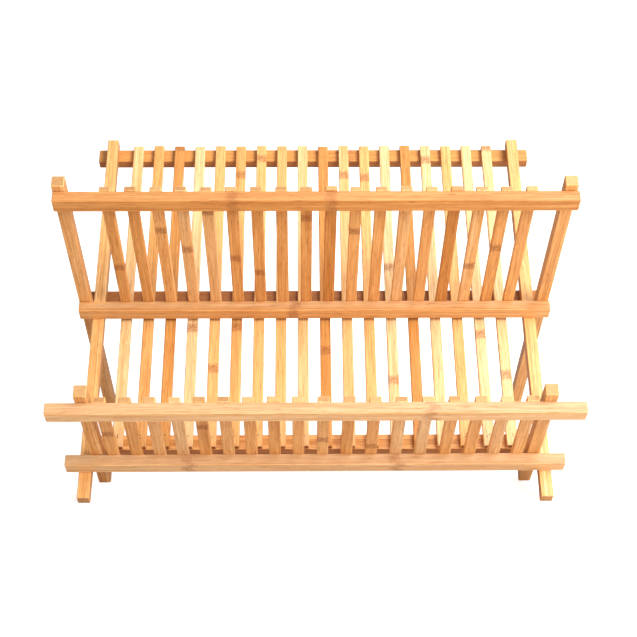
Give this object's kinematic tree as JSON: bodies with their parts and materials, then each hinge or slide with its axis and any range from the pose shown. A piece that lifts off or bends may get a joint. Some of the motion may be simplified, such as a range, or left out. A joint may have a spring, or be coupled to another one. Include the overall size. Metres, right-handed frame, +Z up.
{
  "type": "dish drying rack",
  "caption": "Folding two-tier dish drying rack: three slatted bamboo frames hinged in crossed pairs make a large upper trough and a small lower front trough.",
  "frame": {"origin": "on the floor, at the centre of the open rack's outline", "axes": "+X to the right along the rails, +Y to the back, +Z up; the small trough faces -Y"},
  "size_m": [0.444, 0.3658, 0.2879],
  "materials": {
    "bamboo_leg": "satin",
    "bamboo_rail": "satin",
    "bamboo_slat": "satin",
    "steel_pin": "brushed"
  },
  "bodies": {
    "back_frame": {"back_leg_left": "bamboo_leg", "back_leg_right": "bamboo_leg", "back_rail_top": "bamboo_rail", "back_rail_middle": "bamboo_rail", "back_rail_bottom": "bamboo_rail", "back_slat_01": "bamboo_slat", "back_slat_02": "bamboo_slat", "back_slat_03": "bamboo_slat", "back_slat_04": "bamboo_slat", "back_slat_05": "bamboo_slat", "back_slat_06": "bamboo_slat", "back_slat_07": "bamboo_slat", "back_slat_08": "bamboo_slat", "back_slat_09": "bamboo_slat", "back_slat_10": "bamboo_slat", "back_slat_11": "bamboo_slat", "back_slat_12": "bamboo_slat", "back_slat_13": "bamboo_slat", "back_slat_14": "bamboo_slat", "back_slat_15": "bamboo_slat", "back_slat_16": "bamboo_slat", "back_slat_17": "bamboo_slat", "back_slat_18": "bamboo_slat", "upper_pin_left": "steel_pin", "upper_pin_right": "steel_pin", "lower_pin_left": "steel_pin", "lower_pin_right": "steel_pin"},
    "upper_frame": {"upper_leg_left": "bamboo_leg", "upper_leg_right": "bamboo_leg", "upper_rail_top": "bamboo_rail", "upper_rail_stop": "bamboo_rail", "upper_slat_01": "bamboo_slat", "upper_slat_02": "bamboo_slat", "upper_slat_03": "bamboo_slat", "upper_slat_04": "bamboo_slat", "upper_slat_05": "bamboo_slat", "upper_slat_06": "bamboo_slat", "upper_slat_07": "bamboo_slat", "upper_slat_08": "bamboo_slat", "upper_slat_09": "bamboo_slat", "upper_slat_10": "bamboo_slat", "upper_slat_11": "bamboo_slat", "upper_slat_12": "bamboo_slat", "upper_slat_13": "bamboo_slat", "upper_slat_14": "bamboo_slat", "upper_slat_15": "bamboo_slat", "upper_slat_16": "bamboo_slat", "upper_slat_17": "bamboo_slat", "upper_slat_18": "bamboo_slat"},
    "lower_frame": {"lower_leg_left": "bamboo_leg", "lower_leg_right": "bamboo_leg", "lower_grille": "bamboo_slat"}
  },
  "joints": [
    {"name": "upper_fold", "type": "hinge", "parent": "back_frame", "child": "upper_frame", "pos_m": [0, 0.03132, 0.14272], "axis": [-1, 0, 0], "range_deg": [0, 89]},
    {"name": "lower_fold", "type": "hinge", "parent": "back_frame", "child": "lower_frame", "pos_m": [0, -0.08286, 0.03207], "axis": [-1, 0, 0], "range_deg": [0, 91]}
  ]
}
